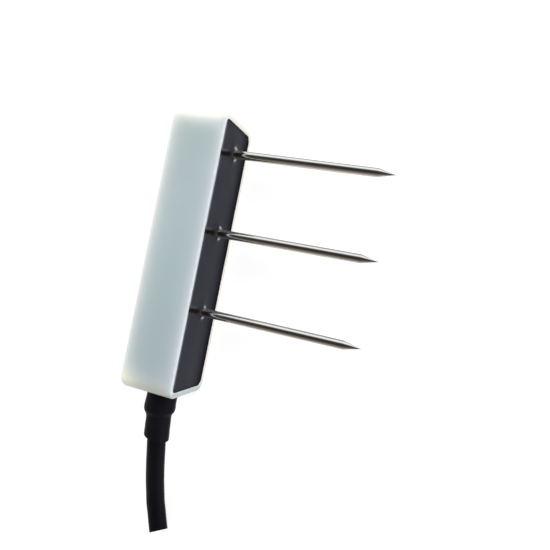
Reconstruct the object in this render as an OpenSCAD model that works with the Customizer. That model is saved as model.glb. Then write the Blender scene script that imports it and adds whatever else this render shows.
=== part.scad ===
// Soil moisture sensor with three steel probes.
// The housing lies on one of its two broad side faces: +Z is up, +X is the way the
// probes point, and the cable leaves towards -Y. The origin is on the surface it
// lies on, under the middle of the housing.

/* [Housing] */
// Length of the housing along the row of probes
body_length = 95; // [94:0.5:100]
// Depth of the housing from its back wall to its open face
body_depth = 19.5; // [19:0.5:22]
// Thickness of the housing, across the row of probes
body_thickness = 25; // [24:0.5:28]
// Wall thickness of the moulded shell
wall = 2; // [1.6:0.1:2.2]
// Radius of the four corners of the open face
corner_radius = 4; // [3:0.5:5]
// Radius of the edges round the back wall
back_radius = 2; // [1:0.5:2.5]
// Depth of the epoxy's surface below the rim
fill_recess = 0.4; // [0.2:0.1:0.8]

/* [Probes] */
// Diameter of a probe
probe_d = 3; // [2.6:0.1:3.4]
// Length of a probe beyond the rim of the open face
probe_reach = 55; // [40:1:70]
// Length of the sharpened end
probe_tip = 5.5; // [4:0.5:8]
// Distance between neighbouring probes
probe_pitch = 27.5; // [27:0.5:28]
// Distance of the middle probe from the middle of the housing
probe_offset = 8.8; // [8.5:0.1:9]

/* [Cable] */
// Outer diameter of the cable
cable_d = 6.5; // [6.3:0.1:6.6]
// Wall thickness of the cable's jacket
jacket_wall = 1.15; // [1.1:0.05:1.2]
// Diameter of one insulated core
core_d = 1.6; // [1.4:0.05:1.6]
// Length of the shrunk sleeve beyond the end of the spigot
sleeve_tail = 9.7; // [8:0.1:10]
// Wall thickness of the shrunk sleeve
sleeve_wall = 0.75; // [0.6:0.05:0.8]

/* [Circuit board] */
// Length of the board along the housing
board_length = 78; // [78:0.5:80]
// Width of the board across the housing
board_width = 18; // [18:0.25:20]
// Thickness of the board
board_thickness = 1.6; // [1.2:0.2:1.6]

/* [Hidden] */

$fn = 48;
small_fn = 24;
over = 1;   // how far a cutter runs past the face it opens

// Places along X, from the back wall to the open face
back_x = -body_depth / 2;
cavity_x = back_x + wall;
rim_x = body_depth / 2;
fill_x = rim_x - fill_recess;
board_front_x = -1;
board_back_x = board_front_x - board_thickness;

// Places along Y and Z
end_y = -body_length / 2;
mid_z = body_thickness / 2;
cavity_length = body_length - 2 * wall;
cavity_thickness = body_thickness - 2 * wall;
board_y = 4;

// Probes: the first is the one furthest from the cable
probe_r = probe_d / 2;
probe_rows = [probe_offset + probe_pitch, probe_offset, probe_offset - probe_pitch];
collar_r = 3;
collar_height = 1;
shank_r = probe_r - 0.25;   // the cast-in part is turned down, so that the epoxy grips it
groove_r = probe_r - 0.5;
groove_from = 5;
groove_to = 7;
point_r = 0.15;
tail_r = 1;
tail_length = 4.4;
washer_r = 2.5;
washer_height = 0.4;
nut_flats = 4;
nut_height = 1.6;
meniscus_width = 0.9;
meniscus_height = 0.8;
meniscus_x = fill_x + meniscus_height;

// Board supports moulded on the back wall, with pegs staked over the board
post_rows = [-33, 41];
post_half_gap = 7.3;
post_r = 2;
peg_r = 1;
stake_r = 1.5;
stake_height = 0.6;

// Spigot on the cable end of the shell, seen as radius against distance out
cable_x = 1;
cable_r = cable_d / 2;
bore_r = cable_r + 0.05;
spigot_length = 7.5;
spigot_profile = [[4.55, 0], [4.5, 5], [4.65, 5.8], [4.65, 6.8], [4.3, spigot_length]];

// Shrunk sleeve: its outer radius against distance from the housing, and the slight
// bend that its loose end takes with the cable
sleeve_skin = [[6, 0], [5.5, 1.2], [5.25, 3], [5.4, 5.8], [5.35, 7], [4.35, 9]];
sleeve_droop = 5;
sleeve_lean = 3;
neck_bore_r = cable_r + 0.35;

// Centre line of the cable, from its mouth inside the housing to its far end
route = [
    [1.0, -38.5, 12.5], [1.0, -47.5, 12.5], [1.0, -54.0, 12.5], [1.2, -58.0, 12.4],
    [1.5, -62.0, 12.0], [1.6, -66.0, 11.2], [1.7, -70.0, 10.2], [1.7, -74.0, 9.0],
    [1.7, -78.0, 7.7], [1.8, -82.0, 6.4], [2.1, -86.0, 5.2], [2.6, -90.0, 4.3],
    [3.4, -93.5, 3.6], [4.3, -96.5, 3.4], [5.5, -100.0, 3.3]
];
// The far end is cut aslant: how far the cut goes back for each millimetre aside and up
cut_aside = 0.19;
cut_up = 0.31;
jacket_sides = 12;
core_sides = 8;
core_shift = core_d / 2 + 0.02;

// Pads for the four wires, and the way each wire takes to its pad
pad_y = -33;
pad_gap = 2.8;
solder_height = 1.2;
solder_base_r = 1.1;
solder_top_r = 0.5;

// Cable tie: the stop that keeps the cable from being pulled out
tie_y = -42.5;
tie_width = 2.5;
tie_height = 1;

// Parts on the front of the board: [along the board, across it from its middle line]
controller_at = [-5.5, 0];
signal_at = [22.5, 0];
transceiver_at = [-28.6, 0];
regulator_at = [-23.6, 6.1];
crystal_at = [3, 6.1];
capacitor_at = [-12.8, 5.7];
inductor_at = [-12.8, -6];
diodes_at = [[-28.8, -5.7], [-28.8, 5.7]];
chip_caps_at = [[-23.5, -6.9], [2.8, -6.5], [14.8, 6.1], [14.8, -6.3], [29.5, -6.3]];
chip_res_at = [[-23.5, -4.6], [2.8, -4], [18, 6.1], [18, -6.3], [29.5, 6.1], [33, -6.3]];
lead_thickness = 0.2;

// ---- shared shapes ----

// A rectangle on the origin with four round corners
module rounded_rect(length, width, r) {
    square([length - 2 * r, width], center = true);
    square([length, width - 2 * r], center = true);
    for (x = [-1, 1], y = [-1, 1])
        translate([x * (length / 2 - r), y * (width / 2 - r)])
            circle(r = r);
}

// A rectangle whose two corners on its low-X side are round
module round_backed_rect(depth, width, r) {
    translate([r, -width / 2])
        square([depth - r, width]);
    translate([0, r - width / 2])
        square([2 * r, width - 2 * r]);
    for (y = [-1, 1])
        translate([r, y * (width / 2 - r)])
            circle(r = r);
}

// Extrudes a Y-Z outline along X, centred on the middle line of the housing
module along_x(from, to) {
    translate([from, 0, mid_z])
        rotate([90, 0, 90])
            linear_extrude(height = to - from)
                children();
}

// A cylinder or a turned shape that stands along +X at a place on the board
module at_row(y, across = 0) {
    translate([0, y, mid_z + across])
        rotate([0, 90, 0])
            children();
}

// Puts a shape, drawn with Z as its height, on the front of the board
module on_board(place) {
    translate([board_front_x, place[0], mid_z + place[1]])
        rotate([90, 0, 90])
            children();
}

// Turns [radius, distance] points round the cable's straight axis, outwards from the housing
module round_cable_exit(points) {
    translate([cable_x, end_y, mid_z])
        rotate([90, 0, 0])
            rotate_extrude()
                polygon(concat([[0, points[0][1]]], points, [[0, points[len(points) - 1][1]]]));
}

// ---- swept tubes ----

function unit(v) = v / norm(v);
function heading(path, i) = unit(path[min(i + 1, len(path) - 1)] - path[max(i - 1, 0)]);
function sideways(t) = unit(cross([0, 0, 1], t));
function upwards(t) = cross(t, sideways(t));

// The path moved aside and up by fixed amounts in its own moving frame
function shifted(path, aside, up) = [
    for (i = [0:len(path) - 1])
        let (t = heading(path, i))
            path[i] + aside * sideways(t) + up * upwards(t)
];

function ring(path, i, r, sides) = [
    let (t = heading(path, i), s = sideways(t), u = upwards(t))
        for (k = [0:sides - 1])
            path[i] + r * (cos(360 * k / sides) * s + sin(360 * k / sides) * u)
];

// A point at the cable's far end, moved along the cable onto the slanting cut
function on_cut(p) =
    let (last = len(route) - 1, t = heading(route, last), off = p - route[last])
        p - (cut_aside * (off * sideways(t)) + cut_up * (off * upwards(t))) * t;

function tube_points(path, r, sides) = [
    for (i = [0:len(path) - 1], p = ring(path, i, r, sides))
        i == len(path) - 1 ? on_cut(p) : p
];

// Two triangles for each patch of wall between neighbouring rings
function wall_faces(rings, sides, first, inward) = [
    for (i = [0:rings - 2], k = [0:sides - 1])
        let (a = first + i * sides + k, b = first + i * sides + (k + 1) % sides,
            c = b + sides, d = a + sides)
            each inward ? [[a, b, c], [a, c, d]] : [[a, d, c], [a, c, b]]
];

module solid_tube(path, r, sides) {
    rings = len(path);
    last = (rings - 1) * sides;
    polyhedron(
        points = tube_points(path, r, sides),
        faces = concat(
            wall_faces(rings, sides, 0, false),
            [[for (k = [0:sides - 1]) k]],
            [[for (k = [sides - 1:-1:0]) last + k]]
        )
    );
}

module hollow_tube(path, outer, inner, sides) {
    rings = len(path);
    count = rings * sides;
    last = count - sides;
    polyhedron(
        points = concat(tube_points(path, outer, sides), tube_points(path, inner, sides)),
        faces = concat(
            wall_faces(rings, sides, 0, false),
            wall_faces(rings, sides, count, true),
            [for (k = [0:sides - 1]) let (n = (k + 1) % sides) each
                [[k, n, count + n], [k, count + n, count + k]]],
            [for (k = [0:sides - 1]) let (n = (k + 1) % sides) each
                [[last + n, last + k, count + last + k],
                [last + n, count + last + k, count + last + n]]]
        )
    );
}

// ---- housing ----

module outer_body() {
    intersection() {
        along_x(back_x, rim_x)
            rounded_rect(body_length, body_thickness, corner_radius);
        translate([back_x, 0, 0])
            linear_extrude(height = body_thickness)
                round_backed_rect(body_depth, body_length, back_radius);
        translate([back_x, body_length / 2, mid_z])
            rotate([90, 0, 0])
                linear_extrude(height = body_length)
                    round_backed_rect(body_depth, body_thickness, back_radius);
    }
}

module cavity(to) {
    along_x(cavity_x, to)
        rounded_rect(cavity_length, cavity_thickness, corner_radius - wall);
}

module board_posts() {
    for (y = post_rows, side = [-1, 1]) {
        at_row(y, side * post_half_gap)
            translate([0, 0, cavity_x])
                cylinder(h = board_back_x - cavity_x, r = post_r);
        at_row(y, side * post_half_gap)
            translate([0, 0, board_back_x])
                cylinder(h = board_thickness, r = peg_r, $fn = small_fn);
        at_row(y, side * post_half_gap)
            translate([0, 0, board_front_x])
                cylinder(h = stake_height, r = stake_r, $fn = small_fn);
    }
}

module cable_bore() {
    translate([cable_x, end_y + wall + over, mid_z])
        rotate([90, 0, 0])
            cylinder(h = wall + spigot_length + 2 * over, r = bore_r);
}

module housing_shell() {
    color("#e3ecec") {
        difference() {
            union() {
                outer_body();
                round_cable_exit(spigot_profile);
            }
            cavity(rim_x + over);
            cable_bore();
        }
        board_posts();
    }
}

// ---- probes and their fixings ----

module probe(y) {
    at_row(y)
        rotate_extrude()
            polygon([
                [0, board_front_x - tail_length], [tail_r, board_front_x - tail_length],
                [tail_r, board_front_x], [collar_r, board_front_x],
                [collar_r, board_front_x + collar_height],
                [shank_r, board_front_x + collar_height],
                [shank_r, groove_from], [groove_r, groove_from],
                [groove_r, groove_to], [shank_r, groove_to],
                [shank_r, meniscus_x], [probe_r, meniscus_x],
                [probe_r, rim_x + probe_reach - probe_tip],
                [point_r, rim_x + probe_reach - point_r], [0, rim_x + probe_reach]
            ]);
}

module probe_pin_1() {
    color("#c8ccce") probe(probe_rows[0]);
}

module probe_pin_2() {
    color("#c8ccce") probe(probe_rows[1]);
}

module probe_pin_3() {
    color("#c8ccce") probe(probe_rows[2]);
}

module washer(y) {
    at_row(y)
        translate([0, 0, board_back_x - washer_height])
            difference() {
                cylinder(h = washer_height, r = washer_r);
                translate([0, 0, -over])
                    cylinder(h = washer_height + 2 * over, r = tail_r);
            }
}

module nut(y) {
    at_row(y)
        translate([0, 0, board_back_x - washer_height - nut_height])
            difference() {
                cylinder(h = nut_height, r = nut_flats / sqrt(3), $fn = 6);
                translate([0, 0, -over])
                    cylinder(h = nut_height + 2 * over, r = tail_r);
            }
}

module probe_washers() {
    color("#b9b7ae")
        for (y = probe_rows)
            washer(y);
}

module probe_nuts() {
    color("#c9b878")
        for (y = probe_rows)
            nut(y);
}

// ---- circuit board ----

module board_blank() {
    translate([board_back_x, board_y - board_length / 2, mid_z - board_width / 2])
        cube([board_thickness, board_length, board_width]);
}

module control_board() {
    color("#1f6a45")
        difference() {
            board_blank();
            for (y = probe_rows)
                at_row(y)
                    translate([0, 0, board_back_x - over])
                        cylinder(h = board_thickness + 2 * over, r = tail_r);
            for (y = post_rows, side = [-1, 1])
                at_row(y, side * post_half_gap)
                    translate([0, 0, board_back_x - over])
                        cylinder(h = board_thickness + 2 * over, r = peg_r, $fn = small_fn);
        }
}

// A gull-wing lead that starts on a chip's side at half its height
module lead(height, width, reach) {
    mid = height / 2 - lead_thickness / 2;
    step = reach / 3;
    translate([-width / 2, 0, 0])
        rotate([90, 0, 90])
            linear_extrude(height = width)
                polygon([
                    [0, mid], [step, mid], [step, 0], [reach, 0],
                    [reach, lead_thickness], [step + lead_thickness, lead_thickness],
                    [step + lead_thickness, mid + lead_thickness], [0, mid + lead_thickness]
                ]);
}

// Evenly spaced leads along one side of a chip that is width across
module lead_row(count, pitch, half_width, height, lead_width, reach) {
    for (i = [0:count - 1])
        translate([(i - (count - 1) / 2) * pitch, half_width, 0])
            lead(height, lead_width, reach);
}

module chip(length, width, height) {
    translate([-length / 2, -width / 2, 0])
        cube([length, width, height]);
}

module two_sided_chip(length, width, height, count, pitch) {
    chip(length, width, height);
    for (turn = [0, 180])
        rotate([0, 0, turn])
            lead_row(count, pitch, width / 2, height, 0.4, 1.05);
}

module microcontroller() {
    color("#2a2a2e")
        on_board(controller_at) {
            chip(7, 7, 1.4);
            for (turn = [0, 90, 180, 270])
                rotate([0, 0, turn])
                    lead_row(8, 0.8, 3.5, 1.4, 0.35, 1);
        }
}

module signal_chip() {
    color("#303034")
        on_board(signal_at)
            two_sided_chip(8.7, 3.9, 1.5, 7, 1.27);
}

module bus_transceiver() {
    color("#303034")
        on_board(transceiver_at)
            two_sided_chip(4.9, 3.9, 1.5, 4, 1.27);
}

module voltage_regulator() {
    color("#343438")
        on_board(regulator_at) {
            chip(4.5, 2.5, 1.5);
            rotate([0, 0, 180])
                lead_row(3, 1.5, 1.25, 1.5, 0.5, 0.8);
            translate([-0.8, 1.25, 0])
                cube([1.6, 0.8, 0.4]);
        }
}

module crystal() {
    color("#c4c6c8")
        on_board(crystal_at) {
            linear_extrude(height = 0.4)
                square([5, 3.2], center = true);
            translate([0, 0, 0.4])
                linear_extrude(height = 0.8)
                    rounded_rect(4.6, 2.8, 0.5, $fn = small_fn);
        }
}

module input_capacitor() {
    color("#bfc1c4")
        on_board(capacitor_at) {
            linear_extrude(height = 0.8)
                polygon([[-2.6, -2.6], [1.8, -2.6], [2.6, -1.8], [2.6, 1.8], [1.8, 2.6], [-2.6, 2.6]]);
            rotate_extrude()
                polygon([[0, 0], [2.5, 0], [2.5, 1.4], [2.3, 1.6], [2.3, 1.8], [2.5, 2],
                    [2.5, 5.2], [2.3, 5.4], [0, 5.4]]);
        }
}

module power_inductor() {
    color("#4a4a4c")
        on_board(inductor_at) {
            linear_extrude(height = 1.6)
                rounded_rect(4, 4, 0.7, $fn = small_fn);
            cylinder(h = 2, r = 1.6);
        }
}

module surge_diode() {
    translate([0, 0, 0.1])
        chip(2.6, 3.9, 2);
    for (turn = [0, 180])
        rotate([0, 0, turn])
            translate([-0.7, 1.15, 0]) {
                cube([1.4, 1, 0.1]);
                translate([0, 0.8, 0.1])
                    cube([1.4, 0.2, 1.1]);
            }
}

module surge_diodes() {
    color("#2c2c2e")
        for (place = diodes_at)
            on_board(place)
                surge_diode();
}

// A ceramic block between two metal end caps
module chip_part(length, width, height, cap) {
    translate([cap - length / 2, 0.05 - width / 2, 0.05])
        cube([length - 2 * cap, width - 0.1, height - 0.1]);
    for (side = [-1, 1])
        translate([side * (length - cap) / 2 - cap / 2, -width / 2, 0])
            cube([cap, width, height]);
}

module chip_capacitors() {
    color("#b59a74")
        for (place = chip_caps_at)
            on_board(place)
                chip_part(2, 1.25, 0.8, 0.4);
}

module chip_resistors() {
    color("#26262a")
        for (place = chip_res_at)
            on_board(place)
                chip_part(1.6, 0.8, 0.5, 0.3);
}

function pad_across(i) = (i - 1.5) * pad_gap;

module wire_solder() {
    color("#c9cbcc")
        for (i = [0:3])
            on_board([pad_y, pad_across(i)])
                cylinder(h = solder_height, r1 = solder_base_r, r2 = solder_top_r, $fn = small_fn);
}

// ---- cable ----

// A core runs from its pad, over to the cable's mouth, and along inside the jacket
module core(i, aside, up) {
    z = mid_z + pad_across(i);
    solid_tube(
        concat(
            [[board_front_x + solder_height, pad_y, z], [1.7, pad_y, z],
                [2.3 + aside, pad_y - 2, (z + mid_z + up) / 2]],
            shifted(route, aside, up)
        ),
        core_d / 2, core_sides
    );
}

module core_red() {
    color("#b3262a") core(0, core_shift, -core_shift);
}

module core_black() {
    color("#1c1c1e") core(1, -core_shift, -core_shift);
}

module core_yellow() {
    color("#d9b52c") core(2, -core_shift, core_shift);
}

module core_green() {
    color("#2f8a4a") core(3, core_shift, core_shift);
}

module cable_jacket() {
    color("#17171a")
        hollow_tube(route, cable_r, cable_r - jacket_wall, jacket_sides);
}

module tie_shape() {
    translate([cable_x, tie_y + tie_width / 2, mid_z])
        rotate([90, 0, 0]) {
            rotate_extrude()
                translate([cable_r, 0])
                    square([tie_height, tie_width]);
            translate([cable_r, -2, 0])
                cube([3, 4, tie_width]);
        }
}

module cable_tie() {
    color("#dcd8cc") tie_shape();
}

module sleeve_tail_axis() {
    translate([cable_x, end_y - spigot_length, mid_z])
        rotate([90 + sleeve_droop, 0, sleeve_lean])
            children();
}

module heat_shrink_sleeve() {
    color("#1b1b1e")
        difference() {
            union() {
                round_cable_exit(sleeve_skin);
                sleeve_tail_axis()
                    cylinder(h = sleeve_tail, r = neck_bore_r + sleeve_wall);
            }
            round_cable_exit(concat([[spigot_profile[0][0], -over]], spigot_profile));
            sleeve_tail_axis()
                translate([0, 0, -over])
                    cylinder(h = sleeve_tail + 2 * over, r = neck_bore_r);
        }
}

// ---- epoxy ----

module epoxy_meniscus(y) {
    at_row(y)
        rotate_extrude()
            polygon(concat(
                [[0, fill_x - over], [probe_r + meniscus_width, fill_x - over]],
                [for (a = [0:15:90])
                    [probe_r + meniscus_width * (1 - sin(a)),
                        fill_x + meniscus_height * (1 - cos(a))]],
                [[0, meniscus_x]]
            ));
}

// A plain block of room for a part on the board, leads included
module room_for(place, length, width, height) {
    on_board(place)
        translate([-length / 2, -width / 2, -over / 2])
            cube([length, width, height + over / 2]);
}

module wiring_room() {
    translate([board_front_x, route[0][1], mid_z - 5.5])
        cube([6, pad_y - route[0][1] + solder_base_r, 11]);
}

module cable_room() {
    translate([cable_x, route[0][1], mid_z])
        rotate([90, 0, 0])
            cylinder(h = route[0][1] - end_y, r = cable_r);
}

module potting_fill() {
    color("#3a3d44")
        difference() {
            union() {
                cavity(fill_x);
                for (y = probe_rows)
                    epoxy_meniscus(y);
            }
            for (y = probe_rows)
                probe(y);
            probe_washers();
            probe_nuts();
            board_blank();
            board_posts();
            room_for(controller_at, 9, 9, 1.4);
            room_for(signal_at, 8.7, 6, 1.5);
            room_for(transceiver_at, 4.9, 6, 1.5);
            room_for(regulator_at, 4.5, 4.1, 1.5);
            room_for(crystal_at, 5, 3.2, 1.2);
            room_for(capacitor_at, 5.2, 5.2, 5.4);
            room_for(inductor_at, 4, 4, 2);
            for (place = diodes_at)
                room_for(place, 2.6, 4.3, 2.1);
            for (place = chip_caps_at)
                room_for(place, 2, 1.25, 0.8);
            for (place = chip_res_at)
                room_for(place, 1.6, 0.8, 0.5);
            wiring_room();
            cable_room();
            tie_shape();
        }
}

housing_shell();
potting_fill();
probe_pin_1();
probe_pin_2();
probe_pin_3();
probe_washers();
probe_nuts();
control_board();
microcontroller();
signal_chip();
bus_transceiver();
voltage_regulator();
crystal();
input_capacitor();
power_inductor();
surge_diodes();
chip_capacitors();
chip_resistors();
wire_solder();
cable_tie();
cable_jacket();
core_red();
core_black();
core_yellow();
core_green();
heat_shrink_sleeve();
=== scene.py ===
# Looks of a soil moisture sensor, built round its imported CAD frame.
# Everything is in metres, in the frame's axes: +Z is up through the housing's
# thickness, +X is the way the probes point, and the cable leaves towards -Y.

import math

import bmesh
import bpy
from mathutils import Matrix, Vector, noise


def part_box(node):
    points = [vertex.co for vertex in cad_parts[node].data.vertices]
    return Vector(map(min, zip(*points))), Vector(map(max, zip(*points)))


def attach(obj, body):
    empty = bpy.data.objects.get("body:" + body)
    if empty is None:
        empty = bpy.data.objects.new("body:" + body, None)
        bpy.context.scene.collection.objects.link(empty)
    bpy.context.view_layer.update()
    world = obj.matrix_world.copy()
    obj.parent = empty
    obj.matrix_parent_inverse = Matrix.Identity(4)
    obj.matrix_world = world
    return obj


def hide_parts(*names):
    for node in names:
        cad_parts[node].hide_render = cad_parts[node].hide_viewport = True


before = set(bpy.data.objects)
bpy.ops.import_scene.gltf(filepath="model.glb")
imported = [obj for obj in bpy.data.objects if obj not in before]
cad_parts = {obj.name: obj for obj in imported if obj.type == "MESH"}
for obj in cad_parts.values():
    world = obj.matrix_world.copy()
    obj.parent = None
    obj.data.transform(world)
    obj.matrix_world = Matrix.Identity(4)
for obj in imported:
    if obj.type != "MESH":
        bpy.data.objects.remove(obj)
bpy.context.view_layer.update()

MM = 0.001

# ---- places and sizes, from the frame ----

SHELL_LOW, SHELL_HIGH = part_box("housing_shell")
EPOXY_LOW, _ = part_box("potting_fill")
BOARD_LOW, BOARD_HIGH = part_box("control_board")
PIN_BOXES = [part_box(f"probe_pin_{i}") for i in (1, 2, 3)]

BACK_X, RIM_X = SHELL_LOW.x, SHELL_HIGH.x
HALF_LENGTH = SHELL_HIGH.y
HALF_THICKNESS = SHELL_HIGH.z / 2
MID_Z = HALF_THICKNESS
END_Y = -HALF_LENGTH
CAVITY_X = EPOXY_LOW.x
WALL = CAVITY_X - BACK_X
BOARD_BACK_X, BOARD_FRONT_X = BOARD_LOW.x, BOARD_HIGH.x
PROBE_ROWS = [(low.y + high.y) / 2 for low, high in PIN_BOXES]

# ---- sizes that the frame's boxes don't give ----

CORNER_R = 4 * MM
BACK_R = 2 * MM
RIM_R = 0.45 * MM
FILL_X = RIM_X - 0.4 * MM

POST_ROWS = (-33 * MM, 41 * MM)
POST_HALF_GAP = 7.3 * MM
POST_R, PEG_R, STAKE_R = 2 * MM, 1 * MM, 1.5 * MM
STAKE_HEIGHT = 0.6 * MM

PROBE_R = 1.5 * MM
PROBE_TIP = 5.5 * MM
SHANK_R = PROBE_R - 0.25 * MM
GROOVE_R = PROBE_R - 0.5 * MM
GROOVE_X = (5 * MM, 7 * MM)
COLLAR_R, COLLAR_LENGTH = 3 * MM, 1 * MM
TAIL_R, TAIL_LENGTH = 1 * MM, 4.4 * MM
MENISCUS_X = FILL_X + 0.8 * MM

CABLE_X = 1 * MM
CABLE_R = 3.25 * MM
CABLE_BORE_R = 2.1 * MM
CORE_R = 0.8 * MM
CORE_SHIFT = CORE_R + 0.02 * MM
BORE_R = 3.3 * MM
# Outside of the spigot, in mm: distance from the end wall, and radius
SPIGOT = [(0, 4.55), (5, 4.5), (5.8, 4.65), (6.8, 4.65), (7.5, 4.3)]
SPIGOT_LENGTH = SPIGOT[-1][0] * MM

# Centre line of the cable, from its mouth inside the housing to its far end
CABLE_ROUTE = [
    (0.0010, -0.0385, 0.0125), (0.0010, -0.0475, 0.0125), (0.0010, -0.0540, 0.0125),
    (0.0012, -0.0580, 0.0124), (0.0015, -0.0620, 0.0120), (0.0016, -0.0660, 0.0112),
    (0.0017, -0.0700, 0.0102), (0.0017, -0.0740, 0.0090), (0.0017, -0.0780, 0.0077),
    (0.0018, -0.0820, 0.0064), (0.0021, -0.0860, 0.0052), (0.0026, -0.0900, 0.0043),
    (0.0034, -0.0935, 0.0036), (0.0043, -0.0965, 0.0034), (0.0055, -0.1000, 0.0033),
]


# ---- camera ----

LENS, SENSOR = 33.492, 36
CAMERA_PLACE = (0.08290, -0.00203, 0.17293)
CAMERA_RIGHT = (0.93568, 0.19681, -0.29287)
CAMERA_FORWARD = (-0.29945, 0.00384, -0.95411)


def make_camera():
    """The photo's viewing angle: from above, and from beyond the tips of the probes."""
    data = bpy.data.cameras.new("camera")
    data.sensor_width = SENSOR
    data.lens = LENS
    data.clip_start, data.clip_end = 0.01, 20
    camera = bpy.data.objects.new("camera", data)
    right = Vector(CAMERA_RIGHT).normalized()
    forward = Vector(CAMERA_FORWARD).normalized()
    up = right.cross(forward)
    turn = Matrix((right, up, -forward)).transposed().to_4x4()
    camera.matrix_world = Matrix.Translation(CAMERA_PLACE) @ turn
    bpy.context.scene.collection.objects.link(camera)
    bpy.context.scene.camera = camera


make_camera()


# ---- mesh tools ----

# Edges that turn by more than this many degrees stay sharp
SHARP = 35
# Points closer than this are one point
SAME = 0.002 * MM


def add_ring(mesh, points):
    """New points of a mesh, one for each place."""
    return [mesh.verts.new(p) for p in points]


def bridge(mesh, first, second):
    """A band of quads between two rings that have the same number of points."""
    for i in range(len(first)):
        j = (i + 1) % len(first)
        mesh.faces.new((first[i], first[j], second[j], second[i]))


def loft(mesh, rings, capped=True):
    """Skins a row of rings. Without caps, the last ring joins the first one."""
    made = [add_ring(mesh, points) for points in rings]
    for first, second in zip(made, made[1:]):
        bridge(mesh, first, second)
    if capped:
        mesh.faces.new(made[0])
        mesh.faces.new(made[-1])
    else:
        bridge(mesh, made[-1], made[0])
    return made


def arc(centre, radius, start, end, steps=6):
    """Points (a, b) on an arc from start to end, in degrees."""
    angles = [math.radians(start + (end - start) * i / steps) for i in range(steps + 1)]
    return [
        (centre[0] + radius * math.cos(t), centre[1] + radius * math.sin(t)) for t in angles
    ]


def turned_rings(profile, place, direction, sides):
    """Rings of (distance along the axis, radius) points round an axis."""
    along = Vector(direction).normalized()
    side = along.orthogonal().normalized()
    over = along.cross(side)
    turns = [math.tau * k / sides for k in range(sides)]
    return [
        [Vector(place) + along * far + (side * math.cos(t) + over * math.sin(t)) * r for t in turns]
        for far, r in profile
    ]


def turned(mesh, profile, place, direction, sides):
    """Adds a closed turned shape to a mesh."""
    loft(mesh, turned_rings(profile, place, direction, sides))


def smooth_route(points, steps):
    """A smooth curve through points, with a number of steps between each two."""
    points = [Vector(p) for p in points]
    ends = [2 * points[0] - points[1], *points, 2 * points[-1] - points[-2]]
    curve = []
    for a, b, c, d in zip(ends, ends[1:], ends[2:], ends[3:]):
        length = (c - b).length
        leave = (c - a) / (c - a).length * length
        arrive = (d - b) / (d - b).length * length
        for i in range(steps):
            t = i / steps
            curve.append(
                b * (2 * t**3 - 3 * t**2 + 1) + leave * (t**3 - 2 * t**2 + t)
                + c * (3 * t**2 - 2 * t**3) + arrive * (t**3 - t**2)
            )
    return curve + [points[-1]]


def frames_along(path):
    """The (point, heading, sideways, upwards) of each point of a path."""
    made = []
    for i, point in enumerate(path):
        heading = (path[min(i + 1, len(path) - 1)] - path[max(i - 1, 0)]).normalized()
        sideways = Vector((0, 0, 1)).cross(heading).normalized()
        made.append((point, heading, sideways, heading.cross(sideways)))
    return made


def shifted(path, aside, up):
    """The path moved aside and up by fixed amounts in its own moving frame."""
    return [p + aside * side + up * over for p, _, side, over in frames_along(path)]


def tube_rings(path, radius, sides):
    """Rings of one radius round each point of a path."""
    turns = [math.tau * k / sides for k in range(sides)]
    return [
        [p + (side * math.cos(t) + over * math.sin(t)) * radius for t in turns]
        for p, _, side, over in frames_along(path)
    ]


def object_from(mesh, name, sharp=SHARP):
    """Makes an object of a bmesh, smooth but for edges sharper than an angle in degrees."""
    bmesh.ops.recalc_face_normals(mesh, faces=mesh.faces)
    shade_by_angle(mesh, sharp)
    data = bpy.data.meshes.new(name)
    mesh.to_mesh(data)
    mesh.free()
    made = bpy.data.objects.new(name, data)
    bpy.context.scene.collection.objects.link(made)
    return made


def shade_by_angle(mesh, sharp):
    """Shades faces smooth, and marks the edges that are sharper than an angle in degrees."""
    for face in mesh.faces:
        face.smooth = True
    for edge in mesh.edges:
        edge.smooth = edge.calc_face_angle(0) < math.radians(sharp)


def combine(target, tool, operation):
    """Joins, or cuts, the target with another object, which is then gone."""
    boolean = target.modifiers.new("combine", "BOOLEAN")
    boolean.operation = operation
    boolean.solver = "EXACT"
    boolean.object = tool
    depsgraph = bpy.context.evaluated_depsgraph_get()
    result = bpy.data.meshes.new_from_object(target.evaluated_get(depsgraph))
    target.modifiers.clear()
    target.data = result
    bpy.data.objects.remove(tool)


def reshade(piece):
    """Joins the doubled points that a combination leaves, and shades the piece again."""
    mesh = bmesh.new()
    mesh.from_mesh(piece.data)
    bmesh.ops.remove_doubles(mesh, verts=mesh.verts, dist=SAME)
    bmesh.ops.recalc_face_normals(mesh, faces=mesh.faces)
    shade_by_angle(mesh, SHARP)
    mesh.to_mesh(piece.data)
    mesh.free()


def even_normals(piece):
    """Lets the large flat faces stay flat next to their round edges."""
    weighted = piece.modifiers.new("even normals", "WEIGHTED_NORMAL")
    weighted.keep_sharp = True
    weighted.weight = 100


def dress(piece, material, slot, *replaced):
    """Gives a new piece its material, and fixes it to the sensor's one body. The slot is not used.
    """
    piece.data.materials.clear()
    piece.data.materials.append(material)
    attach(piece, "root")
    if replaced:
        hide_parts(*replaced)
    return piece


# ---- material tools ----

class Nodes:
    """A node tree, and short ways to add to it."""

    def __init__(self, tree):
        self.tree = tree

    def add(self, kind, inputs=None, **settings):
        """A new node, with sockets or values fed to its inputs."""
        node = self.tree.nodes.new(kind)
        for key, value in settings.items():
            setattr(node, key, value)
        for key, value in (inputs or {}).items():
            if isinstance(value, bpy.types.NodeSocket):
                self.tree.links.new(value, node.inputs[key])
            else:
                node.inputs[key].default_value = value
        return node

    def maths(self, operation, *values):
        """The result of a sum, product or other operation on sockets or numbers."""
        return self.add("ShaderNodeMath", dict(enumerate(values)), operation=operation).outputs[0]

    def blend(self, share, first, second):
        """A colour between two colours."""
        node = self.add("ShaderNodeMix", {0: share, 6: first, 7: second}, data_type="RGBA")
        return node.outputs[2]


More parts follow.
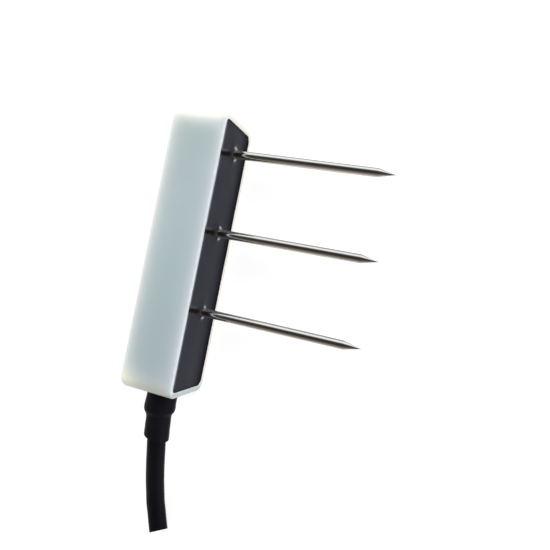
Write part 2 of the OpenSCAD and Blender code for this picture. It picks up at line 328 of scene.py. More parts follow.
class Shader(Nodes):
    """A procedural material: a Principled surface and the nodes that feed it."""

    def __init__(self, name, constants):
        self.material = bpy.data.materials.new(name)
        self.material.use_nodes = True
        super().__init__(self.material.node_tree)
        self.surface = self.tree.nodes["Principled BSDF"]
        for socket, value in constants.items():
            self.surface.inputs[socket].default_value = value
        self.place = self.add("ShaderNodeTexCoord").outputs["Object"]

    def feed(self, socket, value):
        """Links a value to a socket of the surface."""
        self.tree.links.new(value, self.surface.inputs[socket])

    def axes(self):
        """The place's X, Y and Z, in metres."""
        split = self.add("ShaderNodeSeparateXYZ", {0: self.place})
        return split.outputs["X"], split.outputs["Y"], split.outputs["Z"]

    def stretched(self, x=1.0, y=1.0):
        """The place in the object, scaled along an axis, so that a grain runs long."""
        inputs = {"Vector": self.place, "Scale": (x, y, 1.0)}
        return self.add("ShaderNodeMapping", inputs).outputs[0]

    def grain(self, size, detail=2.0, place=None):
        """Noise from 0 to 1 whose blotches are about size metres across."""
        inputs = {
            "Vector": place or self.place, "Scale": 1 / size,
            "Detail": detail, "Roughness": 0.5,
        }
        return self.add("ShaderNodeTexNoise", inputs).outputs["Fac"]

    def ranged(self, value, low, high, out_low=0.0, out_high=1.0):
        """The value mapped smoothly from one range to another, and held at its ends."""
        inputs = {0: value, 1: low, 2: high, 3: out_low, 4: out_high}
        node = self.add("ShaderNodeMapRange", inputs, interpolation_type="SMOOTHSTEP")
        return node.outputs[0]

    def fading(self, distance, reach, power=1.0):
        """A share that is 1 at a distance of 0 and dies away over the reach."""
        steps = self.maths("POWER", self.maths("DIVIDE", distance, reach), power)
        return self.maths("EXPONENT", self.maths("MULTIPLY", steps, -1.0))

    def either(self, *shares):
        """The share that is covered by any of several shares."""
        left = 1.0
        for share in shares:
            left = self.maths("MULTIPLY", self.maths("SUBTRACT", 1.0, share), left)
        return self.maths("SUBTRACT", 1.0, left)

    def roughness(self, value, low, high):
        """Varies the surface's roughness between two levels."""
        self.feed("Roughness", self.ranged(value, 0.25, 0.75, low, high))

    def bump(self, height, distance, strength):
        """Gives the surface a fine relief."""
        inputs = {"Height": height, "Distance": distance, "Strength": strength}
        self.feed("Normal", self.add("ShaderNodeBump", inputs).outputs[0])


def rgb(red, green, blue):
    """A colour as its sockets take it, with an alpha of 1."""
    return (red, green, blue, 1.0)


# ---- materials of what shows ----

# Tones of the shell: over the dark epoxy, with a painted light falloff along the housing and
# painted shade at the heel; at its pale edges, partly painted glow, with a painted warm reflection
# at the cable end; and on its lip, with painted shade at the heel and painted glow on the far side
GREY_PAINTED_DIM, GREY_PAINTED_LIT = rgb(0.355, 0.452, 0.475), rgb(0.405, 0.493, 0.515)
GREY_GREEN, GREY_BLOTCH = rgb(0.378, 0.488, 0.478), rgb(0.385, 0.435, 0.465)
# Painted shade at the heel, the end the cable leaves from
GREY_HEEL_PAINTED_SHADE = rgb(0.27, 0.295, 0.28)
# Pale edge tone, partly painted glow, and a painted warm reflection at the cable end
MILK, MILK_PAINTED_WARM_REFLECTION = rgb(0.98, 0.985, 0.92), rgb(0.98, 0.95, 0.78)
# The lip's tone, its painted shade at the heel, and its painted glow on the far side
LIP, LIP_HEEL_PAINTED_SHADE, LIP_FAR_PAINTED_GLOW = rgb(0.61, 0.655, 0.69), rgb(0.45, 0.49, 0.49), rgb(0.76, 0.75, 0.66)


def shell_depths(shader):
    """The distances from a place on the housing to each of the planes that bound it."""
    x, y, z = shader.axes()
    off_middle = shader.maths("ABSOLUTE", shader.maths("SUBTRACT", z, MID_Z))
    return {
        "rim": shader.maths("SUBTRACT", RIM_X, x),
        "back": shader.maths("SUBTRACT", x, BACK_X),
        "end": shader.maths("SUBTRACT", HALF_LENGTH, shader.maths("ABSOLUTE", y)),
        "far end": shader.maths("SUBTRACT", HALF_LENGTH, y),
        "heel": shader.maths("SUBTRACT", y, END_Y),
        "side": shader.maths("SUBTRACT", HALF_THICKNESS, off_middle),
    }


def pale_edges_and_painted_glow(shader, depths):
    """The share of pale edge tone: along edges, partly the thicker wall and partly painted glow,
    dimmed by painted shade at the heel; a painted highlight at the end away from the cable; and a
    painted warm reflection at a corner.
    """
    back, end, heel = depths["back"], depths["end"], depths["heel"]
    # On a face, the middle one of three depths is the distance to its nearest edge
    least = shader.maths("MINIMUM", back, end)
    most = shader.maths("MAXIMUM", back, end)
    to_edge = shader.maths("MAXIMUM", least, shader.maths("MINIMUM", most, depths["side"]))
    squares = [shader.maths("POWER", depth, 2.0) for depth in (back, heel)]
    to_corner = shader.maths("SQRT", shader.maths("ADD", *squares))
    on_side = shader.fading(depths["side"], 2.5 * MM)
    # Painted shade: the pale edges are dimmed towards the heel
    painted_heel_shade = shader.ranged(heel, 0.0, 4 * MM, 0.42, 1.0)
    # Painted highlight at the end away from the cable
    far_end_highlight = shader.fading(depths["far end"], 4.3 * MM, 2.0)
    # Painted warm reflection at the back corner of the cable end
    corner = shader.fading(to_corner, 6.5 * MM, 2.0)
    # Pale edges: partly the thicker wall hiding the epoxy, partly painted glow
    return shader.either(
        shader.maths("MULTIPLY", shader.fading(to_edge, 2.1 * MM), painted_heel_shade),
        shader.maths("MULTIPLY", far_end_highlight, on_side),
        shader.maths("MULTIPLY", corner, on_side),
    )


def grey_behind_with_painted_shade(shader, heel):
    """The tone of the broad faces, greyed by the epoxy, which changes along the housing: a painted
    light falloff makes it lighter towards the far end, and painted shade darkens it at the heel.
    """
    _, y, _ = shader.axes()
    # Painted light falloff: lighter towards the far end
    grey = shader.blend(shader.ranged(y, -40 * MM, 30 * MM), GREY_PAINTED_DIM, GREY_PAINTED_LIT)
    grey = shader.blend(shader.ranged(y, 22 * MM, 42 * MM), grey, GREY_GREEN)
    blotches = shader.ranged(shader.grain(16 * MM, 1.0), 0.35, 0.65, 0.0, 0.35)
    grey = shader.blend(blotches, grey, GREY_BLOTCH)
    # Painted shade at the heel
    return shader.blend(shader.ranged(heel, 6 * MM, 0.0), grey, GREY_HEEL_PAINTED_SHADE)


def lip_tone(shader, heel):
    """The lip is bluish on the side turned up, with painted shade at the heel, and painted glow
    makes it cream on the far side and end.
    """
    _, y, z = shader.axes()
    # Painted glow on the lip's far side and far end
    far = shader.maths(
        "MAXIMUM", shader.ranged(z, 14 * MM, 8 * MM), shader.ranged(y, 43 * MM, 46.5 * MM))
    off_heel = shader.ranged(y, END_Y + 2 * MM, END_Y + 6 * MM)
    # Painted shade on the lip at the heel
    lip = shader.blend(shader.ranged(heel, 2.2 * MM, 1.2 * MM), LIP, LIP_HEEL_PAINTED_SHADE)
    return shader.blend(shader.maths("MULTIPLY", far, off_heel), lip, LIP_FAR_PAINTED_GLOW)


def shell_plastic():
    """Milky plastic: the dark epoxy behind the walls greys it, and its edges are pale, partly from
    the thicker wall and partly painted glow; painted light and shade, and a painted warm
    reflection, sit on it too.
    """
    shader = Shader("milky_shell", {
        "IOR": 1.46, "Subsurface Weight": 0.15, "Subsurface Scale": 1.2 * MM,
        "Subsurface Radius": (1.0, 0.95, 0.85),
    })
    _, y, _ = shader.axes()
    depths = shell_depths(shader)
    # Painted warm reflection on the pale edges towards the cable end
    warm_reflection_share = shader.ranged(y, END_Y + 13 * MM, END_Y + 2 * MM)
    milk = shader.blend(warm_reflection_share, MILK, MILK_PAINTED_WARM_REFLECTION)
    grey = grey_behind_with_painted_shade(shader, depths["heel"])
    face = shader.blend(pale_edges_and_painted_glow(shader, depths), grey, milk)
    near_rim = shader.fading(depths["rim"], 1.9 * MM)
    shader.feed("Base Color", shader.blend(near_rim, face, lip_tone(shader, depths["heel"])))
    shader.roughness(shader.grain(5 * MM), 0.34, 0.42)
    shader.bump(shader.grain(0.35 * MM, 3.0), 0.01 * MM, 0.5)
    return shader.material


def cast_epoxy():
    """Dark cast epoxy with a glossy skin and a little dust; its reflection is painted weaker
    towards its low side, as painted shade of the floor it mirrors there.
    """
    shader = Shader("cast_epoxy", {"IOR": 1.5})
    clouds = shader.grain(7 * MM, 3.0)
    dust = shader.ranged(shader.grain(0.3 * MM, 1.0), 0.72, 0.78)
    skin = shader.blend(clouds, rgb(0.003, 0.003, 0.0045), rgb(0.006, 0.006, 0.008))
    shader.feed("Base Color", shader.blend(dust, skin, rgb(0.05, 0.05, 0.055)))
    _, _, z = shader.axes()
    # Painted shade: the skin's reflection is weakened towards the floor
    shader.feed("Specular IOR Level", shader.ranged(z, 3 * MM, 11 * MM, 0.06, 0.5))
    shader.roughness(clouds, 0.12, 0.2)
    shader.bump(shader.grain(2.5 * MM, 2.0), 0.012 * MM, 0.6)
    return shader.material


def drawn_steel(name="drawn_steel", low=0.08, high=0.15):
    """Stainless steel with fine lines along the probes, from drawing and polishing."""
    shader = Shader(name, {"Metallic": 1.0})
    lines = shader.grain(0.12 * MM, 3.0, shader.stretched(x=0.02))
    smears = shader.grain(3 * MM, 2.0)
    steel = shader.blend(smears, rgb(0.62, 0.60, 0.58), rgb(0.72, 0.71, 0.69))
    shader.feed("Base Color", steel)
    shader.roughness(smears, low, high)
    shader.bump(lines, 0.004 * MM, 0.6)
    return shader.material


def black_polymer(name, tone, low, high, pits, stretch):
    """Black extruded or shrunk plastic, with a fine skin that runs along the cable."""
    shader = Shader(name, {"IOR": 1.5, "Specular IOR Level": 0.09})
    skin = shader.grain(pits, 3.0, shader.stretched(y=stretch))
    patches = shader.grain(4 * MM, 2.0)
    lighter = tuple(1.7 * c for c in tone)
    shader.feed("Base Color", shader.blend(patches, rgb(*tone), rgb(*lighter)))
    shader.roughness(patches, low, high)
    shader.bump(skin, 0.02 * MM, 0.5)
    return shader.material


def core_plastic(name, tone):
    """The coloured insulation of one core, a little streaky along its length."""
    shader = Shader(name, {"IOR": 1.5})
    streaks = shader.grain(0.4 * MM, 2.0, shader.stretched(y=0.05))
    darker = tuple(0.75 * c for c in tone)
    shader.feed("Base Color", shader.blend(streaks, rgb(*tone), rgb(*darker)))
    shader.roughness(streaks, 0.35, 0.5)
    shader.bump(streaks, 0.005 * MM, 0.4)
    return shader.material


def bright_metal(name, tone, low, high, size):
    """A metal of one tone with tarnish in patches."""
    shader = Shader(name, {"Metallic": 1.0})
    patches = shader.grain(size, 3.0)
    darker = tuple(0.7 * c for c in tone)
    shader.feed("Base Color", shader.blend(patches, rgb(*tone), rgb(*darker)))
    shader.roughness(patches, low, high)
    shader.bump(shader.grain(size / 4, 2.0), 0.01 * MM, 0.4)
    return shader.material


def moulded(name, tone, low, high, size):
    """A moulded, fired or pressed material with a fine matt grain."""
    shader = Shader(name, {"IOR": 1.48})
    patches = shader.grain(size, 3.0)
    lighter = tuple(min(1.0, 1.25 * c) for c in tone)
    shader.feed("Base Color", shader.blend(patches, rgb(*tone), rgb(*lighter)))
    shader.roughness(patches, low, high)
    shader.bump(shader.grain(size / 5, 3.0), 0.01 * MM, 0.5)
    return shader.material


def board_laminate():
    """Green solder mask over woven glass, with the weave just showing."""
    shader = Shader("board_laminate", {"IOR": 1.5})
    pitch = 0.5 * MM
    waves = [
        shader.maths("SINE", shader.maths("MULTIPLY", axis, math.tau / pitch))
        for axis in shader.axes()[1:]
    ]
    share = shader.ranged(shader.maths("MULTIPLY", *waves), -1, 1)
    mask = shader.blend(share, rgb(0.012, 0.09, 0.042), rgb(0.018, 0.13, 0.06))
    shader.feed("Base Color", mask)
    shader.roughness(shader.grain(2 * MM), 0.3, 0.4)
    shader.bump(share, 0.01 * MM, 0.5)
    return shader.material


# ---- the shell ----

def rounded_outline(x, inset, steps=10):
    """A rectangle with round corners across the housing at x, inset from its outside."""
    radius = CORNER_R - inset
    half_y, half_z = HALF_LENGTH - inset - radius, HALF_THICKNESS - inset - radius
    corners = [(half_y, half_z), (-half_y, half_z), (-half_y, -half_z), (half_y, -half_z)]
    return [
        (x, y, MID_Z + z)
        for turn, corner in enumerate(corners)
        for y, z in arc(corner, radius, 90 * turn, 90 * turn + 90, steps)
    ]


def shell_body():
    """The open box: out from the back wall, over the rim, and down inside."""
    profile = (
        arc((BACK_X + BACK_R, BACK_R), BACK_R, 180, 270, 8)
        + arc((RIM_X - RIM_R, RIM_R), RIM_R, 270, 360, 5)
        + arc((RIM_X - RIM_R, WALL - RIM_R), RIM_R, 0, 90, 5)
        + [(CAVITY_X, WALL)]
    )
    mesh = bmesh.new()
    loft(mesh, [rounded_outline(x, inset) for x, inset in profile])
    return object_from(mesh, "milky_shell")


def turned_tool(profile, place, direction, sides=48):
    """A turned object to join to, or cut from, the shell."""
    mesh = bmesh.new()
    turned(mesh, profile, place, direction, sides)
    return object_from(mesh, "tool")


def add_spigot(shell):
    """The collar that the sleeve grips, with its bead, and the bore for the cable."""
    profile = [(-WALL / 2, SPIGOT[0][1] * MM)]
    profile += [(far * MM, r * MM) for far, r in SPIGOT]
    exit_point = (CABLE_X, END_Y, MID_Z)
    combine(shell, turned_tool(profile, exit_point, (0, -1, 0)), "UNION")
    bore = [(-2 * WALL, BORE_R), (SPIGOT_LENGTH + WALL, BORE_R)]
    combine(shell, turned_tool(bore, exit_point, (0, -1, 0)), "DIFFERENCE")


def add_posts(shell):
    """Four posts that carry the board, each with a peg staked over it."""
    stake_x = BOARD_FRONT_X + STAKE_HEIGHT
    profile = [
        (CAVITY_X - WALL / 2, POST_R), (BOARD_BACK_X, POST_R), (BOARD_BACK_X, PEG_R),
        (BOARD_FRONT_X, PEG_R), (BOARD_FRONT_X, STAKE_R),
        (stake_x - 0.3 * MM, STAKE_R), (stake_x - 0.1 * MM, 1.2 * MM), (stake_x, 0.6 * MM),
    ]
    for y in POST_ROWS:
        for side in (-1, 1):
            place = (0, y, MID_Z + side * POST_HALF_GAP)
            combine(shell, turned_tool(profile, place, (1, 0, 0), 32), "UNION")


def make_shell():
    """The white housing, in one piece with its spigot and the board's posts."""
    shell = shell_body()
    add_spigot(shell)
    add_posts(shell)
    reshade(shell)
    even_normals(shell)
    dress(shell, shell_plastic(), "shell", "housing_shell")


# ---- the epoxy ----

FINE_STEP, LEAST_STEP = 0.25 * MM, 0.05 * MM
FINE_AT_WALL, FINE_AT_ROW = 7, 12
WALL_CLIMB, WALL_REACH = 0.3 * MM, 0.55 * MM
PROBE_CLIMB, PROBE_REACH = MENISCUS_X - FILL_X, 0.75 * MM
WAVE_HEIGHT, WAVE_LENGTH = 0.04 * MM, 11 * MM


def grid_lines(half, coarse, rows):
    """Places from -half to half, close together at both ends and on both sides of rows."""
    count = round(2 * half / coarse)
    places = {-half + 2 * half * i / count for i in range(1, count)}
    for side in (-1, 1):
        places |= {side * (half - FINE_STEP * i) for i in range(1, FINE_AT_WALL + 1)}
        for row in rows:
            places |= {row + side * FINE_STEP * i for i in range(1, FINE_AT_ROW + 1)}
    kept = [-half]
    for place in sorted(places):
        if place - kept[-1] > LEAST_STEP and half - place > LEAST_STEP:
            kept.append(place)
    return kept[1:]


def epoxy_height(y, z):
    """How far the cured surface stands off its level: up the walls and the probes."""
    to_wall = min(HALF_LENGTH - WALL - abs(y), HALF_THICKNESS - WALL - abs(z - MID_Z))
    to_probe = min(math.hypot(y - row, z - MID_Z) for row in PROBE_ROWS) - PROBE_R
    climb = WALL_CLIMB * math.exp(-max(to_wall, 0) / WALL_REACH)
    swell = PROBE_CLIMB * math.exp(-max(to_probe, 0) / PROBE_REACH)
    wave = noise.noise(Vector((y, z, 0)) / WAVE_LENGTH)
    return climb + swell + WAVE_HEIGHT * wave


def make_epoxy():
    """The CAD fill with its open face cut finely, then drawn up the walls and probes."""
    mesh = bmesh.new()
    mesh.from_mesh(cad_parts["potting_fill"].data)
    bmesh.ops.remove_doubles(mesh, verts=mesh.verts, dist=0.001 * MM)
    level = FILL_X - 0.01 * MM
    cuts = [(Vector((0, y, 0)), Vector((0, 1, 0)))
            for y in grid_lines(HALF_LENGTH - WALL, 1.5 * MM, PROBE_ROWS)]
    cuts += [(Vector((0, 0, MID_Z + z)), Vector((0, 0, 1)))
             for z in grid_lines(HALF_THICKNESS - WALL, 1 * MM, [0])]
    for point, normal in cuts:
        faces = [f for f in mesh.faces if all(v.co.x > level for v in f.verts)]
        edges = {e for f in faces for e in f.edges}
        verts = {v for f in faces for v in f.verts}
        bmesh.ops.bisect_plane(
            mesh, geom=[*faces, *edges, *verts], dist=SAME, plane_co=point, plane_no=normal)
    for vert in mesh.verts:
        if vert.co.x > level:
            vert.co.x = FILL_X + epoxy_height(vert.co.y, vert.co.z)
    bmesh.ops.dissolve_degenerate(mesh, edges=mesh.edges, dist=SAME)
    epoxy = object_from(mesh, "epoxy_fill", sharp=50)
    dress(epoxy, cast_epoxy(), "epoxy", "potting_fill")


# ---- the probes ----

def probe_profile(tip_x):
    """(x, radius) points of a probe: tail, collar, cast-in shank, rod, and ground point."""
    tail_x = BOARD_FRONT_X - TAIL_LENGTH
    collar_x = BOARD_FRONT_X + COLLAR_LENGTH
    groove_start, groove_end = GROOVE_X
    chamfer = 0.2 * MM
    cast_in = [
        (tail_x, TAIL_R - chamfer), (tail_x + chamfer, TAIL_R),
        (BOARD_FRONT_X, TAIL_R), (BOARD_FRONT_X, COLLAR_R),
        (collar_x, COLLAR_R), (collar_x, SHANK_R),
        (groove_start, SHANK_R), (groove_start, GROOVE_R),
        (groove_end, GROOVE_R), (groove_end, SHANK_R), (MENISCUS_X, SHANK_R),
    ]
    # The point starts with a soft shoulder and ends slightly blunt
    shoulder = tip_x - PROBE_TIP
    slope = PROBE_R / PROBE_TIP
    soft, blunt = 0.25 * MM, 0.6 * MM
    return cast_in + [
        (MENISCUS_X, PROBE_R), (shoulder - soft, PROBE_R),
        (shoulder - 0.3 * soft, PROBE_R - 0.01 * MM),
        (shoulder + 0.5 * soft, PROBE_R - 0.06 * MM),
        (shoulder + 1.5 * soft, PROBE_R - 1.5 * soft * slope),
        (tip_x - blunt, blunt * slope + 0.03 * MM),
        (tip_x - 0.2 * MM, 0.11 * MM), (tip_x - 0.05 * MM, 0.07 * MM), (tip_x, 0.02 * MM),
    ]


def make_probes():
    """Three steel probes, each ending where its CAD node ends."""
    steel = drawn_steel()
    for i, (y, (_, high)) in enumerate(zip(PROBE_ROWS, PIN_BOXES), start=1):
        mesh = bmesh.new()
        turned(mesh, probe_profile(high.x), (0, y, MID_Z), (1, 0, 0), 72)
        probe = object_from(mesh, f"steel_probe_{i}")
        dress(probe, steel, "probe_steel", f"probe_pin_{i}")


# ---- the sleeve ----

SLEEVE_LENGTH = 17.2 * MM
SLANT, SLANT_FROM = 0.9 * MM, 0.6
WRINKLE, WRINKLE_LENGTH, WRINKLE_TURNS = 0.07 * MM, 3 * MM, 2.2
# In mm: the bend from the end wall on, then (distance, radius) outside and inside
SLEEVE_BEND = [
    (0, -47.5, 0), (0, -51, 0), (0, -54, 0), (0.13, -57, -0.16), (0.29, -60, -0.42),
    (0.5, -64.66, -0.845),
]
SLEEVE_OUTSIDE = [
    (0, 6.0), (0.5, 5.75), (1.3, 5.45), (2.6, 5.27), (4.2, 5.25), (5.2, 5.33), (6, 5.4),
    (6.9, 5.38), (7.6, 5.2), (8.3, 4.75), (8.9, 4.42), (9.6, 4.3), (13, 4.33), (17.2, 4.38),
]
SLEEVE_INSIDE = [
    (0, 4.6), (5, 4.55), (5.8, 4.7), (6.9, 4.7), (7.7, 4.35), (8.6, 3.8), (9.4, 3.62),
    (17.2, 3.6),
]


def at_distance(table, far):
    """Reads a table of (distance, value) points, smoothly between them."""
    for (a, first), (b, second) in zip(table, table[1:]):
        if far <= b:
            t = (far - a) / (b - a)
            return first + (second - first) * t * t * (3 - 2 * t)
    return table[-1][1]


def sleeve_rings(path, table, wrinkle, sides=72):
    """Rings whose radius follows the table, a little uneven where the sleeve shrank.

    The loose end is cut aslant: it is longer on the side that the probes point to."""
    rings = []
    far = 0.0
    previous = path[0]
    for p, heading, side, over in frames_along(path):
        far += (p - previous).length
        previous = p
        radius = at_distance(table, far / MM) * MM
        share = max(0.0, far / SLEEVE_LENGTH - SLANT_FROM) / (1 - SLANT_FROM)
        ring = []
        for k in range(sides):
            t = math.tau * k / sides
            around = side * math.cos(t) + over * math.sin(t)
            uneven = noise.noise(Vector((
                WRINKLE_TURNS * math.cos(t), WRINKLE_TURNS * math.sin(t), far / WRINKLE_LENGTH)))
            slant = share * (SLANT * math.cos(t) - SLANT / 3)
            ring.append(p + around * (radius + wrinkle * uneven) + heading * slant)
        rings.append(ring)
    return rings


def make_sleeve():
    """The shrunk sleeve, over the spigot and the start of the cable."""
    bend = [(CABLE_X + x * MM, y * MM, MID_Z + z * MM) for x, y, z in SLEEVE_BEND]
    path = smooth_route(bend, 9)
    outside = sleeve_rings(path, SLEEVE_OUTSIDE, WRINKLE)
    inside = sleeve_rings(path, SLEEVE_INSIDE, 0.0)
    mesh = bmesh.new()
    loft(mesh, outside + inside[::-1], capped=False)
    sleeve = object_from(mesh, "shrunk_sleeve")
    skin = black_polymer("shrunk_sleeve", (0.0042, 0.0042, 0.0062), 0.42, 0.55, 0.3 * MM, 0.5)
    dress(sleeve, skin, "sleeve", "heat_shrink_sleeve")


# ---- the cable ----

PAD_Y = -33 * MM
PAD_GAP = 2.8 * MM
WIRE_RISE_X, WIRE_TURN_X, WIRE_LEAD = 1.7 * MM, 2.3 * MM, 2 * MM
SOLDER_HEIGHT = 1.2 * MM
STRAND_R = 0.13 * MM
CORE_BORE_R = 0.42 * MM
# The far end's slanting cut: how far it goes back for each metre aside and up
CUT_ASIDE, CUT_UP = 0.19, 0.31
CUT_REACH = 5 * MM
CORES = 4


def core_path(route, index, aside, up):
    """From a pad on the board, over to the cable's mouth, and along inside the jacket."""
    middle = (CORES - 1) / 2
    z = MID_Z + (index - middle) * PAD_GAP
    start = [
        Vector((BOARD_FRONT_X + SOLDER_HEIGHT, PAD_Y, z)),
        Vector((WIRE_RISE_X, PAD_Y, z)),
        Vector((WIRE_TURN_X + aside, PAD_Y - WIRE_LEAD, (z + MID_Z + up) / 2)),
    ]
    return start + shifted(route, aside, up)


def strands_in(path):
    """Seven copper strands along a path: one in the middle and six round it."""
    turns = [math.tau * k / 6 for k in range(6)]
    ring = [(2 * STRAND_R * math.cos(t), 2 * STRAND_R * math.sin(t)) for t in turns]
    return [shifted(path, aside, up) for aside, up in [(0, 0), *ring]]


def hollow_tube(mesh, path, outer, inner, sides, soft):
    """A tube with slightly rounded cut ends."""
    outside = tube_rings(path, outer, sides)
    inside = tube_rings(path, inner, sides)
    first = tube_rings([path[0], path[1]], outer - soft, sides)[0]
    ahead = (path[-1] - path[-2]).normalized() * soft
    last = tube_rings([path[-2], path[-1]], outer - soft, sides)[1]
    outside[-1] = [p - ahead for p in outside[-1]]
    loft(mesh, [first, *outside, last, *inside[::-1]], capped=False)


def cut_aslant(mesh, route):
    """Slants the cable's far end, and draws its last few millimetres along with it."""
    end, heading, sideways, upwards = frames_along(route)[-1]
    for vert in mesh.verts:
        off = vert.co - end
        share = max(0.0, 1 + off.dot(heading) / CUT_REACH)
        back = CUT_ASIDE * off.dot(sideways) + CUT_UP * off.dot(upwards)
        vert.co -= heading * back * share


def make_jacket(route):
    """The cable's outer jacket, from its mouth inside the housing to the cut."""
    mesh = bmesh.new()
    hollow_tube(mesh, route, CABLE_R, CABLE_BORE_R, 56, 0.08 * MM)
    cut_aslant(mesh, route)
    jacket = object_from(mesh, "cable_outer_jacket", sharp=50)
    skin = black_polymer("cable_jacket", (0.003, 0.003, 0.0045), 0.38, 0.5, 0.25 * MM, 0.15)
    return dress(jacket, skin, "jacket", "cable_jacket")


def make_core(route, name, index, aside, up, tone, copper):
    """One insulated core with its strands, from its pad to the cut."""
    path = core_path(route, index, aside, up)
    mesh = bmesh.new()
    hollow_tube(mesh, path, CORE_R, CORE_BORE_R, 20, 0.04 * MM)
    insulated = len(mesh.faces)
    for strand in strands_in(path):
        loft(mesh, tube_rings(strand, STRAND_R, 6))
    cut_aslant(mesh, route)
    mesh.faces.ensure_lookup_table()
    for face in mesh.faces[insulated:]:
        face.material_index = 1
    core = object_from(mesh, f"insulated_{name}", sharp=50)
    dress(core, core_plastic(name, tone), name, name)
    core.data.materials.append(copper)
    return core


def make_cable():
    """The jacket and its four cores, as one bare-ended cord."""
    route = smooth_route(CABLE_ROUTE, 5)
    jacket = make_jacket(route)
    copper = bright_metal("copper", (0.85, 0.42, 0.24), 0.25, 0.4, 0.6 * MM)
    places = [
        ("core_red", CORE_SHIFT, -CORE_SHIFT, (0.45, 0.02, 0.025)),
        ("core_black", -CORE_SHIFT, -CORE_SHIFT, (0.012, 0.012, 0.014)),
        ("core_yellow", -CORE_SHIFT, CORE_SHIFT, (0.7, 0.48, 0.03)),
        ("core_green", CORE_SHIFT, CORE_SHIFT, (0.03, 0.28, 0.08)),
    ]
    cores = [
        make_core(route, name, index, aside, up, tone, copper)
        for index, (name, aside, up, tone) in enumerate(places)
    ]


# ---- the hidden electronics, which keep their CAD shapes ----

def finish_nodes(material, *names):
    """Gives CAD nodes a material."""
    for name in names:
        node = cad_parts[name]
        if not node.material_slots:
            node.data.materials.append(None)
        for place in node.material_slots:
            place.material = material


def finish_electronics():
    """Materials of what is cast in: the board, its parts, the fixings and the cable tie."""
    finish_nodes(board_laminate(), "control_board")
    finish_nodes(
        moulded("chip_body", (0.022, 0.022, 0.025), 0.5, 0.65, 0.8 * MM),
        "microcontroller", "signal_chip", "bus_transceiver", "voltage_regulator", "surge_diodes",
    )
    finish_nodes(bright_metal("can", (0.72, 0.72, 0.73), 0.25, 0.4, 1.2 * MM),
                 "crystal", "input_capacitor")
    finish_nodes(moulded("ferrite", (0.08, 0.08, 0.085), 0.6, 0.8, 0.5 * MM), "power_inductor")
    finish_nodes(moulded("ceramic", (0.4, 0.29, 0.17), 0.35, 0.5, 0.4 * MM), "chip_capacitors")
    finish_nodes(moulded("resistor_glaze", (0.02, 0.02, 0.022), 0.25, 0.4, 0.4 * MM),
                 "chip_resistors")
    finish_nodes(bright_metal("solder", (0.68, 0.69, 0.7), 0.2, 0.35, 0.6 * MM), "wire_solder")
    finish_nodes(moulded("nylon", (0.72, 0.7, 0.63), 0.4, 0.55, 1.0 * MM), "cable_tie")
    finish_nodes(drawn_steel("washer_steel", 0.3, 0.45), "probe_washers")
    finish_nodes(bright_metal("brass", (0.78, 0.57, 0.26), 0.2, 0.35, 0.7 * MM), "probe_nuts")


# ---- floor, lights and surroundings ----

FLOOR_R, SWEEP_R, WALL_TOP = 1.6, 1.0, 2.2
FLOOR_GLOW = 0.76


def make_floor():
    """A pale round floor that sweeps up far away into a wall."""
    sweep = arc((SWEEP_R, FLOOR_R), SWEEP_R, 180, 90, 12)
    profile = [(0, 0.1), (0, FLOOR_R / 2), *sweep, (WALL_TOP, FLOOR_R + SWEEP_R)]
    mesh = bmesh.new()
    rings = turned_rings(profile, (0, 0, 0), (0, 0, 1), 96)
    made = [add_ring(mesh, points) for points in rings]
    for first, second in zip(made, made[1:]):
        bridge(mesh, first, second)
    mesh.faces.new(made[0])
    floor = object_from(mesh, "floor")
    shader = Shader("pale_floor", {
        "Roughness": 0.9, "Specular IOR Level": 0.1,
        "Emission Color": rgb(1.0, 1.0, 1.0), "Emission Strength": FLOOR_GLOW,
    })
    share = shader.grain(0.05, 3.0)
    shader.feed("Base Color", shader.blend(share, rgb(0.38, 0.38, 0.38), rgb(0.41, 0.41, 0.41)))
    floor.data.materials.append(shader.material)
    floor.visible_glossy = False


LAMP_SIZE = 0.5
LAMPS = [
    ("key", (0.30, 0.45, 0.60), 2.9), ("fill", (-0.6, 0.1, 0.5), 2.0),
    ("front", (0.75, 0.0, 0.25), 0.9),
]


def soft_light(name, place, power):
    """A square lamp that faces the middle of the housing, and isn't seen in reflections."""
    data = bpy.data.lights.new(name, "AREA")
    data.shape = "SQUARE"
    data.size = LAMP_SIZE
    data.energy = power
    lamp = bpy.data.objects.new(name, data)
    lamp.location = place
    lamp.visible_glossy = False
    aim = Vector((0, 0, MID_Z)) - Vector(place)
    lamp.rotation_euler = aim.to_track_quat("-Z", "Y").to_euler()
    bpy.context.scene.collection.objects.link(lamp)


# Gradients of the surroundings, as (level, colour): level 0 is below and 1 is overhead
FAR_SIDE = [
    (0.38, (0.45, 0.46, 0.45)), (0.50, (1.25, 1.25, 1.25)), (0.78, (1.35, 1.35, 1.35)),
    (0.86, (0.75, 0.75, 0.75)), (0.93, (0.12, 0.12, 0.12)), (0.97, (0.05, 0.05, 0.05)),
]
NEAR_SIDE = [
    (0.34, (0.85, 0.82, 0.78)), (0.48, (0.5, 0.47, 0.43)), (0.70, (0.28, 0.23, 0.19)),
    (0.88, (0.15, 0.12, 0.10)), (0.95, (0.04, 0.04, 0.04)),
]
BEYOND = [(0.3, (0.30, 0.32, 0.38)), (0.5, (0.05, 0.05, 0.06))]
LIT = [(0.3, (0.5, 0.5, 0.5)), (0.5, (0.9, 0.9, 0.9)), (0.8, (0.2, 0.2, 0.2))]


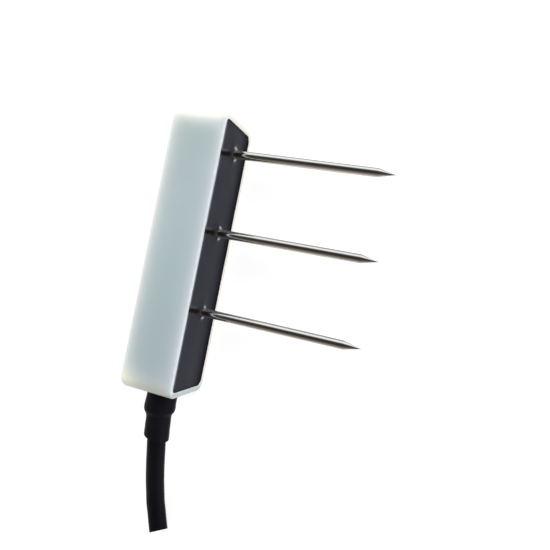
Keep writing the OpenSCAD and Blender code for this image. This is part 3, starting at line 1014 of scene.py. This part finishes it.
class Surroundings(Nodes):
    """The studio's colour by direction, mixed from gradients."""

    def __init__(self, tree):
        super().__init__(tree)
        direction = self.add("ShaderNodeTexCoord").outputs["Generated"]
        split = self.add("ShaderNodeSeparateXYZ", {0: direction})
        self.ahead, self.across, self.height = split.outputs
        self.level = self.maths("MULTIPLY_ADD", self.height, 0.5, 0.5)

    def share(self, value, low, high):
        """A share that rises evenly from 0 to 1 between two values."""
        return self.add("ShaderNodeMapRange", {0: value, 1: low, 2: high}).outputs[0]

    def gradient(self, stops):
        """A colour by level, smooth between the stops."""
        ramp = self.add("ShaderNodeValToRGB", {0: self.level})
        ramp.color_ramp.interpolation = "EASE"
        first, last = ramp.color_ramp.elements
        first.position, last.position = stops[0][0], stops[-1][0]
        first.color, last.color = rgb(*stops[0][1]), rgb(*stops[-1][1])
        for position, tone in stops[1:-1]:
            ramp.color_ramp.elements.new(position).color = rgb(*tone)
        return ramp.outputs[0]

    def two_sides(self):
        """Bright on the far side, warm and dim on the near one, and brightest low down."""
        side = self.share(self.across, -0.15, 0.15)
        room = self.blend(side, self.gradient(NEAR_SIDE), self.gradient(FAR_SIDE))
        lower = self.share(self.height, -0.2, -0.45)
        aslant = self.share(self.ahead, 0.05, 0.2)
        far_low = self.maths("MULTIPLY", self.maths("MULTIPLY", lower, aslant), side)
        return self.blend(far_low, room, rgb(2.2, 2.2, 2.2))

    def dark_beyond(self, room):
        """The room beyond the probes is dark, which is what the epoxy's skin mirrors."""
        aside = self.maths("MULTIPLY", self.maths("ABSOLUTE", self.across), -0.4)
        share = self.share(self.maths("ADD", self.ahead, aside), 0.02, 0.22)
        return self.blend(share, room, self.gradient(BEYOND))

    def patch_below(self, room):
        """A bright patch straight below gives the glints where the epoxy meets a probe."""
        near_middle = self.share(self.maths("ABSOLUTE", self.ahead), 0.2, 0.12)
        under = self.share(self.height, -0.85, -0.93)
        share = self.maths("MULTIPLY", near_middle, under)
        return self.blend(share, room, rgb(1.9, 2.0, 2.4))

    def lit_ahead(self, room):
        """Farther round towards +X the room is lit again."""
        return self.blend(self.share(self.ahead, 0.5, 0.7), room, self.gradient(LIT))


def make_surroundings():
    """A studio that differs by direction, since the steel mirrors all of it."""
    world = bpy.data.worlds.new("studio")
    bpy.context.scene.world = world
    world.use_nodes = True
    studio = Surroundings(world.node_tree)
    room = studio.lit_ahead(studio.patch_below(studio.dark_beyond(studio.two_sides())))
    background = studio.tree.nodes["Background"]
    studio.tree.links.new(room, background.inputs["Color"])
    background.inputs["Strength"].default_value = 1.0


make_cable()
make_shell()
make_epoxy()
make_probes()
make_sleeve()
finish_electronics()
make_floor()
make_surroundings()
for lamp_name, lamp_place, lamp_power in LAMPS:
    soft_light(lamp_name, lamp_place, lamp_power)
bpy.context.scene.view_settings.view_transform = "Standard"
